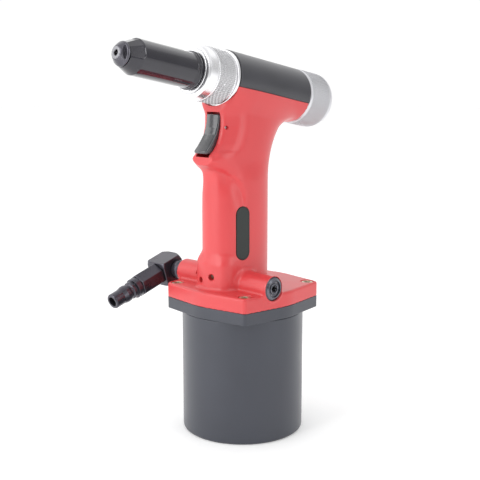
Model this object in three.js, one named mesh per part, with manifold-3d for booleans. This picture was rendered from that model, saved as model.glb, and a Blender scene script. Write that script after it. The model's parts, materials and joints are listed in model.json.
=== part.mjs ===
// Air-hydraulic blind-rivet gun, built as it comes apart on a bench. Millimetres, +Z up.
// Origin: centre of the air cylinder's bottom face, on which the tool stands. The nose points to -X and is
// tilted up. The side valve plug is on -Y, and the swivelling air inlet is on +Y.
import * as THREE from 'three';
import { mergeVertices } from 'three/addons/utils/BufferGeometryUtils.js';
import Module from 'manifold-3d';

const wasm = await Module();
wasm.setup();

// ---------------------------------------------------------------- driving dimensions
const GAP = 0.3; // left between pieces that touch
const FINE = 28; // sides of a large turned piece
const COARSE = 12; // sides of a small turned piece

const CUP = { r: 47, bore: 43.5, floor: 6, top: 104.15, flange: 9, edge: 3 };
const BASE = { bottom: CUP.top + GAP, top: 115.5, side: 47.5, tip: 57.9, corner: 3, screw: 35.6 };
const VALVE = { x: -15.7, z: 119.7, boss: 9.5, left: -47.4, right: 48, bore: 5.8, spot: 8.8, seat: -44 };
const VENT = { x: -18.2, y: 3, hole: 2.35, chamberX: -28, chamberR: 6.8 };
const DRUM = { x: VENT.x, y: 0.5, r: 20.3, half: 16.5, corner: 7 };
const GRIP = { centre: -8.4, front: -36, back: 20, half: 19.5, square: 2.3 };
const BARREL = { z: 267.3, tilt: 10, r: 21.2, core: 18.3, bore: 15.8, front: -24, rear: 56, split: -6 };
const COLLAR = { front: -54, rear: -24.3, r: 19.8 };
const TRIGGER = { x: -28.4, z: 236.2, half: 6.3, pin: 1.5, reach: 10, wall: 9.3 };
const PILOT = { z: 224, r: 4.5 };
const RAM = { r: 5.5, top: 107.5 };
const AIR_PISTON = { bottom: 6.4, thick: 18, r: 43.1 };
const TRANSFER = { x: -15.7, y: 28, r: 3 };
const PULL = { r: 12.9, rod: 7, front: 8, rear: 18 };
const NOSE = { tip: -122.6, body: 12.7, shoulder: -116.6, facet: -107.2 };
const CAP = { front: 56.5, rear: 87, r: 21.6 };
const ELBOW = { y: 67.8, droop: 17.5, half: 10.1, back: 7.6, front: -13 };
const ADAPTER = { front: -35, flats: 16.4 };
const PLUG_END = -62;
const LABEL = { x: -19, y: -18.5, z: 158, turn: 12.4, width: 11.5, length: 40 };

// ---------------------------------------------------------------- shape helpers
// A closed manifold solid from a three.js geometry.
function solid(geometry) {
  geometry.deleteAttribute('normal');
  geometry.deleteAttribute('uv');
  const merged = mergeVertices(geometry, 1e-4);
  const corners = merged.index.array;
  const kept = [];
  for (let i = 0; i < corners.length; i += 3) {
    const [a, b, c] = corners.slice(i, i + 3);
    if (a !== b && b !== c && c !== a) kept.push(a, b, c);
  }
  const vertProperties = new Float32Array(merged.attributes.position.array);
  return new wasm.Manifold(new wasm.Mesh({ numProp: 3, vertProperties, triVerts: new Uint32Array(kept) }));
}

// A three.js geometry from a manifold solid.
function surface(body) {
  const mesh = body.getMesh();
  const geometry = new THREE.BufferGeometry();
  geometry.setAttribute('position', new THREE.BufferAttribute(new Float32Array(mesh.vertProperties), 3));
  geometry.setIndex(new THREE.BufferAttribute(new Uint32Array(mesh.triVerts), 1));
  geometry.computeVertexNormals();
  return geometry;
}

// A solid turned about 'z' (up), 'y', or 'x' (towards the nose). The profile lists [radius, station] and
// starts and ends on the axis, or closes on itself when `closed` is set. Along 'x' a station is -x.
function turned(axis, profile, { sides = COARSE, closed = false } = {}) {
  const loop = [...profile];
  let area = 0;
  for (let i = 0; i < loop.length; i += 1) {
    const [r0, s0] = loop[i];
    const [r1, s1] = loop[(i + 1) % loop.length];
    area += r0 * s1 - r1 * s0;
  }
  if (area < 0) loop.reverse();
  if (closed) loop.push(loop[0]);
  const geometry = new THREE.LatheGeometry(loop.map(([r, s]) => new THREE.Vector2(r, s)), sides);
  if (axis === 'z') geometry.rotateX(Math.PI / 2);
  if (axis === 'x') geometry.rotateZ(Math.PI / 2);
  return solid(geometry);
}

const rod = (axis, r, from, to, sides = COARSE) =>
  turned(axis, [[0, from], [r, from], [r, to], [0, to]], { sides });

const tube = (axis, outer, inner, from, to, sides = COARSE) =>
  turned(axis, [[inner, from], [outer, from], [outer, to], [inner, to]], { sides, closed: true });

// An outline in X and Y, extruded up from one height to another.
function upright(points, from, to) {
  const shape = new THREE.Shape(points.map(([x, y]) => new THREE.Vector2(x, y)));
  const geometry = new THREE.ExtrudeGeometry(shape, { depth: to - from, bevelEnabled: false });
  geometry.translate(0, 0, from);
  return solid(geometry);
}

// An outline in X and Z, extruded along Y to the same distance on both sides of the middle plane.
function sideways(points, half) {
  const shape = new THREE.Shape(points.map(([x, z]) => new THREE.Vector2(x, z)));
  const geometry = new THREE.ExtrudeGeometry(shape, { depth: 2 * half, bevelEnabled: false });
  geometry.rotateX(Math.PI / 2);
  geometry.translate(0, half, 0);
  return solid(geometry);
}

function box(low, high) {
  const [sx, sy, sz] = low.map((value, i) => high[i] - value);
  const geometry = new THREE.BoxGeometry(sx, sy, sz);
  geometry.translate(low[0] + sx / 2, low[1] + sy / 2, low[2] + sz / 2);
  return solid(geometry);
}

// The points of a circle's arc, in degrees.
function arc(x, y, r, from, to, steps) {
  return Array.from({ length: steps + 1 }, (unused, i) => {
    const angle = THREE.MathUtils.degToRad(from + ((to - from) * i) / steps);
    return [x + r * Math.cos(angle), y + r * Math.sin(angle)];
  });
}

const polygon = (count, flats, start) =>
  arc(0, 0, flats / 2 / Math.cos(Math.PI / count), start, start + (360 * (count - 1)) / count, count - 1);

// A body lofted through level rings, listed upwards. Each ring runs anticlockwise round its middle.
function loft(rings, middle) {
  const count = rings[0].length;
  const positions = rings.flat(2);
  const index = [];
  for (let ring = 0; ring + 1 < rings.length; ring += 1) {
    for (let i = 0; i < count; i += 1) {
      const a = ring * count + i;
      const b = ring * count + ((i + 1) % count);
      index.push(a, b, b + count, a, b + count, a + count);
    }
  }
  [0, rings.length - 1].forEach((ring) => {
    const centre = positions.length / 3;
    positions.push(...middle, rings[ring][0][2]);
    for (let i = 0; i < count; i += 1) {
      const a = ring * count + i;
      const b = ring * count + ((i + 1) % count);
      index.push(centre, ...(ring === 0 ? [b, a] : [a, b]));
    }
  });
  const geometry = new THREE.BufferGeometry();
  geometry.setAttribute('position', new THREE.Float32BufferAttribute(positions, 3));
  geometry.setIndex(index);
  return solid(geometry);
}

// A coil spring as one round wire along a helix, with its axis up and its ends at the two heights.
class Helix extends THREE.Curve {
  constructor(radius, from, to, turns) {
    super();
    Object.assign(this, { radius, from, to, turns });
  }

  getPoint(t, target = new THREE.Vector3()) {
    const angle = 2 * Math.PI * this.turns * t;
    const height = this.from + (this.to - this.from) * t;
    return target.set(this.radius * Math.cos(angle), this.radius * Math.sin(angle), height);
  }
}

function spring(radius, wire, length, turns) {
  const section = new THREE.Shape(arc(0, 0, wire, 0, 270, 3).map(([x, y]) => new THREE.Vector2(x, y)));
  const path = new Helix(radius, wire, length - wire, turns);
  const geometry = new THREE.ExtrudeGeometry(section, { steps: 8 * turns, bevelEnabled: false, extrudePath: path });
  return solid(geometry);
}

const join = (first, ...others) => others.reduce((sum, other) => sum.add(other), first);
const cut = (first, ...others) => others.reduce((rest, other) => rest.subtract(other), first);

// ---------------------------------------------------------------- scene graph
const gun = new THREE.Group();
const barrel = new THREE.Group();
barrel.position.set(0, 0, BARREL.z);
barrel.rotation.y = THREE.MathUtils.degToRad(BARREL.tilt);
const elbow = new THREE.Group();
elbow.position.set(VALVE.x, ELBOW.y, VALVE.z);
elbow.rotation.y = -THREE.MathUtils.degToRad(ELBOW.droop);
const valve = new THREE.Group();
valve.position.set(VALVE.x, 0, VALVE.z);
gun.add(barrel, elbow, valve);

const MATERIALS = {
  casting: new THREE.MeshStandardMaterial({ color: 0xdb4650, roughness: 0.4, metalness: 0.1 }),
  cylinder: new THREE.MeshStandardMaterial({ color: 0x54585f, roughness: 0.45, metalness: 0.5 }),
  cover: new THREE.MeshStandardMaterial({ color: 0x34363b, roughness: 0.4, metalness: 0 }),
  bright: new THREE.MeshStandardMaterial({ color: 0xd6d6da, roughness: 0.25, metalness: 1 }),
  collector: new THREE.MeshStandardMaterial({ color: 0xcfcfd4, roughness: 0.5, metalness: 1 }),
  blackSteel: new THREE.MeshStandardMaterial({ color: 0x2e2d33, roughness: 0.35, metalness: 0.8 }),
  steel: new THREE.MeshStandardMaterial({ color: 0x9b9ca0, roughness: 0.3, metalness: 1 }),
  brass: new THREE.MeshStandardMaterial({ color: 0xc5a256, roughness: 0.35, metalness: 1 }),
  aluminium: new THREE.MeshStandardMaterial({ color: 0xb4b6ba, roughness: 0.4, metalness: 1 }),
  trigger: new THREE.MeshStandardMaterial({ color: 0x2a2b2f, roughness: 0.3, metalness: 0 }),
  rubber: new THREE.MeshStandardMaterial({ color: 0x161617, roughness: 0.8, metalness: 0 }),
  felt: new THREE.MeshStandardMaterial({ color: 0xb9ad92, roughness: 1, metalness: 0 }),
  label: new THREE.MeshStandardMaterial({ color: 0x1d2622, roughness: 0.45, metalness: 0 }),
};

function place(name, material, body, group = gun) {
  const mesh = new THREE.Mesh(surface(body), MATERIALS[material].clone());
  mesh.name = name;
  group.add(mesh);
  return mesh;
}

// ---------------------------------------------------------------- air cylinder
// Both flanges share one outline: a circle with a small round corner on each diagonal, joined by tangents.
function flangeOutline() {
  const reach = BASE.tip - BASE.corner;
  const spread = THREE.MathUtils.radToDeg(Math.acos((BASE.side - BASE.corner) / reach));
  const points = [];
  for (const diagonal of [45, 135, 225, 315]) {
    const [x, y] = arc(0, 0, reach, diagonal, diagonal, 1)[0];
    points.push(...arc(x, y, BASE.corner, diagonal - spread, diagonal + spread, 4));
    points.push(...arc(0, 0, BASE.side, diagonal + spread, diagonal + 90 - spread, 3));
  }
  return points;
}

const screwPlaces = [[-1, -1], [1, -1], [1, 1], [-1, 1]].map(([x, y]) => [x * BASE.screw, y * BASE.screw]);

function airCylinder() {
  const wall = turned('z', [
    [0, 0],
    ...arc(CUP.r - CUP.edge, CUP.edge, CUP.edge, -90, 0, 3),
    [CUP.r, CUP.top - 1],
    [0, CUP.top - 1],
  ], { sides: FINE });
  const flange = upright(flangeOutline(), CUP.top - CUP.flange, CUP.top);
  const bore = rod('z', CUP.bore, CUP.floor, CUP.top + 1, FINE);
  const holes = screwPlaces.map(([x, y]) => rod('z', 2.8, 90, 110, 10).translate([x, y, 0]));
  return cut(join(wall, flange), bore, ...holes);
}

place('air_cylinder', 'cylinder', airCylinder());
place('cylinder_gasket', 'rubber', tube('z', 46.5, 44.5, BASE.bottom, BASE.bottom + 0.9, FINE));

// ---------------------------------------------------------------- handle casting
// Front of the handle in the middle plane, [z, x]: the grip, the ledge under the trigger, the trigger walls.
const FRONT = [
  [112, GRIP.front - 1], [198, GRIP.front], [204, -38], [208, -42.5], [211, -46], [213, -47], [216, -47],
  [216.6, -42.6], [219.7, -38.3], [224, -35], [230, -32.4], [237, -30.6], [259, -30.2],
];
const BACK_BEND = { from: 197, r: 56, limit: 41 };

function frontAt(z) {
  const next = Math.max(1, FRONT.findIndex(([level]) => level >= z));
  const [z0, x0] = FRONT[next - 1];
  const [z1, x1] = FRONT[next];
  return x0 + ((x1 - x0) * (z - z0)) / (z1 - z0);
}

// The back is straight and then bends away to the rear, under the head.
function backAt(z) {
  const rise = Math.max(0, z - BACK_BEND.from);
  const bend = BACK_BEND.r - Math.sqrt(Math.max(0, BACK_BEND.r ** 2 - rise ** 2));
  return Math.min(GRIP.back + bend, BACK_BEND.limit);
}

// The outline at one height, anticlockwise from the middle of the back: a rounded oval in the grip, which
// turns into a flat front with slanting sides at the trigger.
function gripOutline(z) {
  const front = frontAt(z);
  const back = backAt(z);
  const upper = THREE.MathUtils.smoothstep(z, 196, 214);
  const half = THREE.MathUtils.lerp(GRIP.half, 18, upper);
  const widest = THREE.MathUtils.lerp(GRIP.centre, -6, upper);
  const wall = THREE.MathUtils.lerp(TRIGGER.wall, 8.5, THREE.MathUtils.smoothstep(-front, 40, 47));
  const power = 2 / GRIP.square;
  const steps = 7;
  const side = [];
  for (let i = 1; i < steps; i += 1) {
    const angle = (Math.PI / 2) * (i / steps);
    side.push([widest + (back - widest) * Math.cos(angle) ** power, half * Math.sin(angle) ** power]);
  }
  for (let i = steps; i >= 1; i -= 1) {
    const angle = (Math.PI / 2) * (i / steps);
    const oval = [widest - (widest - front) * Math.cos(angle) ** power, half * Math.sin(angle) ** power];
    const run = Math.max(0, (i - 2) / (steps - 2));
    const flat = i <= 2
      ? [front, (wall * i) / 2]
      : [front + (widest - front) * run, wall + (half - wall) * Math.sin((Math.PI / 2) * run)];
    side.push([THREE.MathUtils.lerp(oval[0], flat[0], upper), THREE.MathUtils.lerp(oval[1], flat[1], upper)]);
  }
  const mirrored = side.map(([x, y]) => [x, -y]).reverse();
  return [[back, 0], ...side, [front, 0], ...mirrored].map(([x, y]) => [x, y, z]);
}

// The grip from the flange up into the head.
const GRIP_LEVELS = [112, 150, 185, 198, 204, 208, 211, 213, 216, 216.6, 219.7, 224, 230, 237, 245, 251, 257];
const grip = () => loft(GRIP_LEVELS.map(gripOutline), [GRIP.centre, 0]);

// The exhaust drum in front of the grip's foot: a curved face between two flat sides, domed on top.
function exhaustDrum() {
  const outline = (z, inset) => {
    const { x, y, corner } = DRUM;
    const r = DRUM.r - inset;
    const rise = DRUM.half - inset - corner;
    const run = Math.sqrt((r - corner) ** 2 - rise ** 2);
    const turn = THREE.MathUtils.radToDeg(Math.atan2(rise, run));
    return [
      [x, y + DRUM.half - inset],
      ...arc(x - run, y + rise, corner, 90, 180 - turn, 2),
      ...arc(x, y, r, 180 - turn, 180 + turn, 6).slice(1, -1),
      ...arc(x - run, y - rise, corner, 180 + turn, 270, 2),
      [x, y - DRUM.half + inset],
    ].map(([px, py]) => [px, py, z]);
  };
  const dome = [[112, 0], [131, 0], [135, 0.8], [138.5, 2.6], [141, 5.5]];
  return loft(dome.map(([z, inset]) => outline(z, inset)), [DRUM.x - 8, DRUM.y]);
}

const alongBarrel = (body) => body.rotate([0, BARREL.tilt, 0]).translate([0, 0, BARREL.z]);
const alongValve = (body) => body.translate([VALVE.x, 0, VALVE.z]);

// The capsule outline of the name plate, grown by a margin, as a block that reaches from one depth to another.
function labelBlock(margin, inner, outer) {
  const r = LABEL.width / 2 + margin;
  const run = (LABEL.length - LABEL.width) / 2;
  const outline = [...arc(0, run, r, 0, 180, 8), ...arc(0, -run, r, 180, 360, 8)];
  const block = upright(outline, inner, outer);
  return block.rotate([90, 0, -LABEL.turn]).translate([LABEL.x, LABEL.y, LABEL.z]);
}

function handleBody() {
  const outside = [
    upright(flangeOutline(), BASE.bottom, BASE.top),
    alongValve(rod('y', VALVE.boss, VALVE.left, VALVE.right, COARSE + 4)),
    box([VALVE.x - VALVE.boss, VALVE.left, 112], [VALVE.x + VALVE.boss, VALVE.right, VALVE.z]),
    exhaustDrum(),
    alongBarrel(rod('x', BARREL.core, -BARREL.rear, -BARREL.front, FINE)),
    alongBarrel(rod('x', BARREL.r, -BARREL.rear, -BARREL.front, FINE)
      .subtract(box([-70, -30, BARREL.split], [70, 30, 30]))),
  ];
  const screws = screwPlaces.flatMap(([x, y]) => [
    rod('z', 2.8, 100, 120, 10).translate([x, y, 0]),
    rod('z', 4.75, 109.5, 120).translate([x, y, 0]),
  ]);
  const vents = [[18, 125.3], [-13, 122]].map(([turn, z]) =>
    rod('x', VENT.hole, 10, 30, 16).rotate([0, 0, turn]).translate([VENT.x, VENT.y, z]));
  const inside = [
    alongBarrel(rod('x', BARREL.bore, -BARREL.rear - 1, -BARREL.front + 1, FINE)),
    alongBarrel(rod('x', 21.1, 0.1 - BARREL.front, 70, FINE)),
    rod('z', RAM.r + 0.5, 100, 255),
    rod('z', 8.8, 100, 127.3),
    rod('z', 14.3, 100, 109.8),
    tube('z', 21, 15.7, 100, 108),
    tube('z', 46.8, 44.2, 100, BASE.bottom + 1.2, FINE),
    rod('z', TRANSFER.r + GAP, 100, 112.8, 16).translate([TRANSFER.x, TRANSFER.y, 0]),
    rod('z', 1.8, 110, 118, 12).translate([TRANSFER.x, TRANSFER.y, 0]),
    rod('z', VENT.chamberR, 100, 134).translate([VENT.chamberX, VENT.y, 0]),
    rod('x', 1.5, 17, 28).translate([0, VENT.y + 5, VALVE.z]),
    box([-30, 25, 121.5], [-23.6, 26.3, 124.5]),
    alongValve(rod('y', VALVE.bore, -50, 50)),
    alongValve(rod('y', VALVE.spot, -50, VALVE.seat)),
    rod('z', 1.9, 120, PILOT.z, 12).translate([VALVE.x, 0, 0]),
    rod('x', PILOT.r + GAP, 11.5, 40, 16).translate([0, 0, PILOT.z]),
    rod('y', TRIGGER.pin + GAP, -20, 20, 16).translate([TRIGGER.x, 0, TRIGGER.z]),
    sideways([[-60, 247.6], [-60, 215.7], [-44.5, 215.7], [-38, 212.8], [-24.6, 212.8], [-24.6, 247.6]],
      TRIGGER.half + GAP),
    labelBlock(GAP, -1.6, 5),
  ];
  return cut(join(grip(), ...outside), ...inside, ...screws, ...vents);
}

place('handle_body', 'casting', handleBody());
place('name_plate', 'label', labelBlock(0, -1.3, 0.1));

screwPlaces.forEach(([x, y], i) => {
  const socket = upright(polygon(6, 4, 0), 112, 120);
  const screw = turned('z', [[0, 97], [2.5, 97], [2.5, 109.8], [4.4, 109.8], [4.4, 114.6], [4, 115], [0, 115]]);
  place(`flange_screw_${i + 1}`, 'steel', cut(screw, socket).translate([x, y, 0]));
});

// ---------------------------------------------------------------- air piston, ram and their seals
const pistonTop = AIR_PISTON.bottom + AIR_PISTON.thick;
const grooveMiddle = AIR_PISTON.bottom + AIR_PISTON.thick / 2;

function airPiston() {
  const disc = turned('z', [
    [0, AIR_PISTON.bottom],
    [AIR_PISTON.r, AIR_PISTON.bottom],
    [AIR_PISTON.r, grooveMiddle - 2.2],
    [39.2, grooveMiddle - 2.2],
    [39.2, grooveMiddle + 2.2],
    [AIR_PISTON.r, grooveMiddle + 2.2],
    [AIR_PISTON.r, pistonTop],
    [0, pistonTop],
  ], { sides: FINE });
  return cut(
    disc,
    rod('z', 4.3, 0, 50),
    rod('z', 9.5, 0, AIR_PISTON.bottom + 6),
    rod('z', TRANSFER.r + GAP, 0, 50, 16).translate([TRANSFER.x, TRANSFER.y, 0]),
    rod('z', 5.8, pistonTop - 3.6, 50).translate([TRANSFER.x, TRANSFER.y, 0]),
  );
}

place('air_piston', 'aluminium', airPiston());
place('air_piston_seal', 'rubber', turned('z', [
  [39.5, grooveMiddle - 1.8], [42.6, grooveMiddle - 1.8], [43.3, grooveMiddle], [42.6, grooveMiddle + 1.8],
  [39.5, grooveMiddle + 1.8],
], { sides: FINE, closed: true }));
place('transfer_tube_seal', 'rubber',
  tube('z', 5.5, TRANSFER.r + 0.25, pistonTop - 3.3, pistonTop - 0.5, 16).translate([TRANSFER.x, TRANSFER.y, 0]));
place('ram_rod', 'steel', turned('z', [
  [0, AIR_PISTON.bottom + 0.6], [4, AIR_PISTON.bottom + 0.6], [4, pistonTop + GAP], [RAM.r, pistonTop + GAP],
  [RAM.r, RAM.top - 1], [RAM.r - 1, RAM.top], [0, RAM.top],
]));
place('piston_nut', 'steel', cut(
  upright(polygon(6, 13, 0), AIR_PISTON.bottom + 1.2, AIR_PISTON.bottom + 5.7),
  rod('z', 4.3, 0, 50),
));
place('piston_bumper', 'rubber', tube('z', 20.7, 16, 97, 107.7));
place('transfer_tube', 'steel',
  tube('z', TRANSFER.r, TRANSFER.r - 1, CUP.floor + 2, 112.5, 16).translate([TRANSFER.x, TRANSFER.y, 0]));
place('ram_gland', 'brass', turned('z', [
  [RAM.r + GAP, 104.75], [14, 104.75], [14, 109.5], [8.5, 109.5], [8.5, 127], [RAM.r + GAP, 127],
  [RAM.r + GAP, 121.5], [7.6, 121.5], [7.6, 118], [RAM.r + GAP, 118],
], { closed: true }));
place('ram_seal', 'rubber', tube('z', 7.4, RAM.r + 0.2, 118.2, 121.3));

// ---------------------------------------------------------------- valve in the base
const spoolFrom = -25;
const spoolTo = 22;

function valveSleeve() {
  const ports = [-20, 0, TRANSFER.y].map((y) =>
    rod('z', 1.5, -10, 10, 12).translate([0, y, 0]));
  return cut(tube('y', 5.5, 3.7, -33, 34), ...ports);
}

place('valve_sleeve', 'brass', valveSleeve(), valve);
place('valve_spool', 'steel', turned('y', [
  [0, spoolFrom], [3.4, spoolFrom], [3.4, -12], [2, -11], [2, -4], [3.4, -3], [3.4, 6], [2, 7], [2, 14],
  [3.4, 15], [3.4, spoolTo], [0, spoolTo],
]), valve);
const valveSpring = place('valve_spring', 'steel', spring(2.7, 0.4, 12.8, 5), valve);
valveSpring.rotation.x = -Math.PI / 2;
valveSpring.position.y = -38.2;

function valvePlug() {
  const body = turned('y', [
    [0, -47], [7.8, -47], [8.5, -46.2], [8.5, -45.3], [5.5, -45.3], [5.5, -38.6], [0, -38.6],
  ]);
  const points = 6;
  const star = Array.from({ length: 2 * points }, (unused, i) => {
    const angle = (Math.PI * i) / points;
    const r = i % 2 ? 2.3 : 3.5;
    return [r * Math.cos(angle), r * Math.sin(angle)];
  });
  return cut(body, upright(star, 43.8, 50).rotate([90, 0, 0]));
}

place('valve_plug', 'blackSteel', valvePlug(), valve);
place('plug_o_ring', 'rubber', tube('y', 7.3, 5.8, -45, -44.2), valve);
place('exhaust_filter', 'felt',
  rod('z', VENT.chamberR - GAP, 112, 133.5).translate([VENT.chamberX, VENT.y, 0]));
place('pilot_tube', 'steel', tube('z', 1.6, 1, 126.6, PILOT.z - PILOT.r - GAP, 12).translate([VALVE.x, 0, 0]));

// ---------------------------------------------------------------- trigger and its valve
function triggerLever() {
  const side = sideways([
    [-29.5, 245.8], [-32.5, 245.2], [-32.7, 240.5], [-33.8, 236], [-35.9, 231], [-38.9, 227], [-42, 223],
    [-45.8, 219.3], [-45.2, 218], [-43.4, 217.3], [-40.5, 217.6], [-34.5, 219.2], [-33, 221], [-33, 227.5],
    [-27, 231.5], [-25.4, 236], [-26.2, 244.8],
  ], TRIGGER.half);
  return cut(side, rod('y', TRIGGER.pin + GAP, -20, 20, 16).translate([TRIGGER.x, 0, TRIGGER.z]));
}

place('trigger', 'trigger', triggerLever());
place('trigger_pin', 'steel',
  rod('y', TRIGGER.pin, -TRIGGER.reach, TRIGGER.reach, 16).translate([TRIGGER.x, 0, TRIGGER.z]));
place('pilot_valve_body', 'brass', turned('x', [
  [1.7, 27], [PILOT.r, 27], [PILOT.r, 12], [3, 12], [3, 22], [1.7, 22],
], { closed: true }).translate([0, 0, PILOT.z]));
place('pilot_valve_stem', 'steel', turned('x', [
  [0, 32.7], [1.4, 32.7], [1.4, 21.7], [2.7, 21.7], [2.7, 20.2], [0, 20.2],
], { sides: 16 }).translate([0, 0, PILOT.z]));
const pilotSpring = place('pilot_valve_spring', 'steel', spring(2.2, 0.35, 7.6, 4));
pilotSpring.rotation.y = Math.PI / 2;
pilotSpring.position.set(-19.9, 0, PILOT.z);

// ---------------------------------------------------------------- head: cover, liner, glands, pull piston
function barrelCover() {
  const shell = tube('x', BARREL.r, BARREL.core + GAP, GAP - BARREL.rear, -BARREL.front - GAP, FINE);
  return cut(shell, box([-70, -30, -30], [70, 30, BARREL.split + GAP]));
}

place('barrel_cover', 'cover', barrelCover(), barrel);

const oilPort = rod('z', 3, -20, -5, 12).translate([2.7, 0, 0]);
place('head_cylinder', 'steel', cut(turned('x', [
  [13.2, -54], [15.5, -54], [15.5, 24.3], [16.4, 24.3], [16.4, 44], [13.2, 44],
], { sides: FINE, closed: true }), oilPort), barrel);

place('front_gland', 'brass', turned('x', [
  [7.3, 3.5], [PULL.r, 3.5], [PULL.r, 13], [7.3, 13], [7.3, 10], [9, 10], [9, 6.5], [7.3, 6.5],
], { closed: true }), barrel);
place('front_gland_seal', 'rubber', tube('x', 8.8, PULL.rod + 0.2, 6.7, 9.8), barrel);
place('pull_piston', 'steel', turned('x', [
  [3.4, 65.7], [5.6, 65.7], [5.6, 57.5], [PULL.rod, 57.5], [PULL.rod, -PULL.front],
  [PULL.r, -PULL.front], [PULL.r, -11.2], [11, -11.2], [11, -14.8], [PULL.r, -14.8], [PULL.r, -PULL.rear],
  [5.3, -PULL.rear], [5.3, -12], [3.4, -12],
], { closed: true }), barrel);
place('pull_piston_seal', 'rubber', tube('x', 13, 11.2, -14.6, -11.4), barrel);
place('mandrel_tube', 'steel', tube('x', 5, 3.6, -60, -12.3, 16), barrel);
const returnSpring = place('return_spring', 'steel', spring(9.4, 1, 30.4, 5), barrel);
returnSpring.rotation.y = Math.PI / 2;
returnSpring.position.x = PULL.rear + GAP;
place('rear_gland', 'aluminium', turned('x', [
  [5.3, -49], [12.9, -49], [12.9, -56.3], [16.6, -56.3], [16.6, -58.6], [15, -58.6], [15, -61], [16.6, -61],
  [16.6, -63], [5.3, -63],
], { closed: true }), barrel);
place('rear_cap_o_ring', 'rubber', tube('x', 16.9, 15.2, -60.8, -58.8), barrel);
place('rear_cap', 'collector', turned('x', [
  [17.2, -CAP.front], [CAP.r, -CAP.front], [CAP.r, -76], [20.7, -83], [18.6, -86.2], [15, -CAP.rear],
  [0, -CAP.rear], [0, -84], [15, -84], [18.2, -80], [18.2, -66], [17.2, -65],
], { sides: FINE, closed: true }), barrel);

// ---------------------------------------------------------------- collar, nose and jaws
place('lock_collar', 'bright', turned('x', [
  [16.8, -COLLAR.rear], [20.7, -COLLAR.rear], [20.7, 26.5], [COLLAR.r, 27], [COLLAR.r, 45], [19.2, 45.6],
  [19.2, 52.6], [18, -COLLAR.front], [13.6, -COLLAR.front], [13.6, 50], [16.8, 50],
], { sides: FINE, closed: true }), barrel);

function noseHousing() {
  const body = turned('x', [
    [10.1, 44.3], [15.8, 44.3], [15.8, 49.7], [13.2, 49.7], [13.2, 57], [NOSE.body, 58], [12.6, 108.4],
    [12.2, 109.2], [8.6, -NOSE.shoulder], [5.4, -NOSE.shoulder], [5.4, 104], [10.1, 102.5],
  ], { sides: FINE, closed: true });
  const facet = box([-30, -20, 0], [0, 20, 20]).rotate([0, -24.2, 0]).translate([NOSE.facet, 0, 11.8]);
  const flats = [0, 36, 72, 180, 216, 252].map((turn) => facet.rotate([turn, 0, 0]));
  return cut(body, ...flats);
}

place('nose_housing', 'blackSteel', noseHousing(), barrel);

function noseTip() {
  const body = turned('x', [
    [1.95, 95], [3.1, 95], [3.1, 98.5], [5.1, 98.5], [5.1, 116.9], [8.2, 116.9], [8.6, 117.4], [8.3, 118.3],
    [6.6, 120.3], [4.9, 122], [4.1, -NOSE.tip], [1.95, -NOSE.tip],
  ], { closed: true });
  const flats = [80, 260].map((turn) => box([-130, -20, 4.5], [-118.9, 20, 20]).rotate([turn, 0, 0]));
  return cut(body, ...flats);
}

place('nose_tip', 'blackSteel', noseTip(), barrel);
place('jaw_case', 'steel', turned('x', [
  [5.9, 58], [9.5, 58], [9.5, 94], [8.5, 96], [3.5, 96], [7.1, 84], [7.1, 66.5], [5.9, 66.5],
], { closed: true }), barrel);

// Three wedge-shaped jaws share the cone at the front of their case.
const jawCone = turned('x', [[1.9, 94.6], [3.55, 94.6], [6.75, 84], [1.9, 84]], { sides: FINE, closed: true });
for (let i = 0; i < 3; i += 1) {
  const wedge = upright([[0.9, 0], [20.9, -34.6], [20.9, 34.6]], -100, -80)
    .rotate([0, 90, 0])
    .rotate([120 * i, 0, 0]);
  place(`jaw_${i + 1}`, 'steel', jawCone.intersect(wedge), barrel);
}
place('jaw_pusher', 'steel', turned('x', [
  [2.4, 83.7], [6.7, 83.7], [6.7, 80.5], [4.2, 80.5], [4.2, 73], [2.4, 73],
], { closed: true }), barrel);
const jawSpring = place('jaw_spring', 'steel', spring(5.6, 0.6, 13.9, 4), barrel);
jawSpring.rotation.y = -Math.PI / 2;
jawSpring.position.x = -66.3;

// ---------------------------------------------------------------- swivelling air inlet
const intoElbow = -ELBOW.y; // the elbow group's own Y of the gun's middle plane
const blockFace = ELBOW.y - ELBOW.half;

function swivelStem() {
  const stem = turned('y', [
    [2.4, 36], [5.5, 36], [5.5, VALVE.right + GAP], [8.4, VALVE.right + GAP], [8.4, 50], [7.6, 51],
    [7.6, blockFace - 1], [7, blockFace - GAP], [5.2, blockFace - GAP], [5.2, 60], [4.3, 60], [4.3, 62],
    [5.2, 62], [5.2, 72], [4.3, 72], [4.3, 74], [5.2, 74], [5.2, 75.2], [4.6, 75.2], [4.6, 76.2], [5.2, 76.2],
    [5.2, 76.6], [0, 76.6], [0, 70], [2.4, 70],
  ], { closed: true });
  return cut(stem, rod('x', 1.8, -10, 10, 12).translate([0, ELBOW.y, 0]));
}

place('swivel_stem', 'blackSteel', swivelStem(), valve);
[61, 73].forEach((y, i) => {
  place(`swivel_seal_${i + 1}`, 'rubber', tube('y', 5.2, 4.45, y - 0.8, y + 0.8), valve);
});
place('swivel_clip', 'steel', tube('y', 6.6, 4.75, 75.3, 76.1), valve);

function elbowBody() {
  const h = ELBOW.half;
  const corner = h * Math.SQRT2;
  const block = box([ELBOW.front, -h, -h], [ELBOW.back, h, h]);
  const turnedEnds = turned('x', [
    [0, -ELBOW.back], [h + 0.2, -ELBOW.back], [corner + 0.5, -ELBOW.back + 2.8],
    [corner + 0.5, -ELBOW.front - 1.7], [h + 0.6, -ELBOW.front], [0, -ELBOW.front],
  ], { sides: FINE });
  const bore = rod('y', 5.5, -20, 20);
  const clipRecess = rod('y', 7, 75 + intoElbow, 20);
  const outlet = rod('x', 5.2, 5, 20);
  return cut(block.intersect(turnedEnds), bore, clipRecess, outlet);
}

place('elbow_body', 'blackSteel', elbowBody(), elbow);

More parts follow.
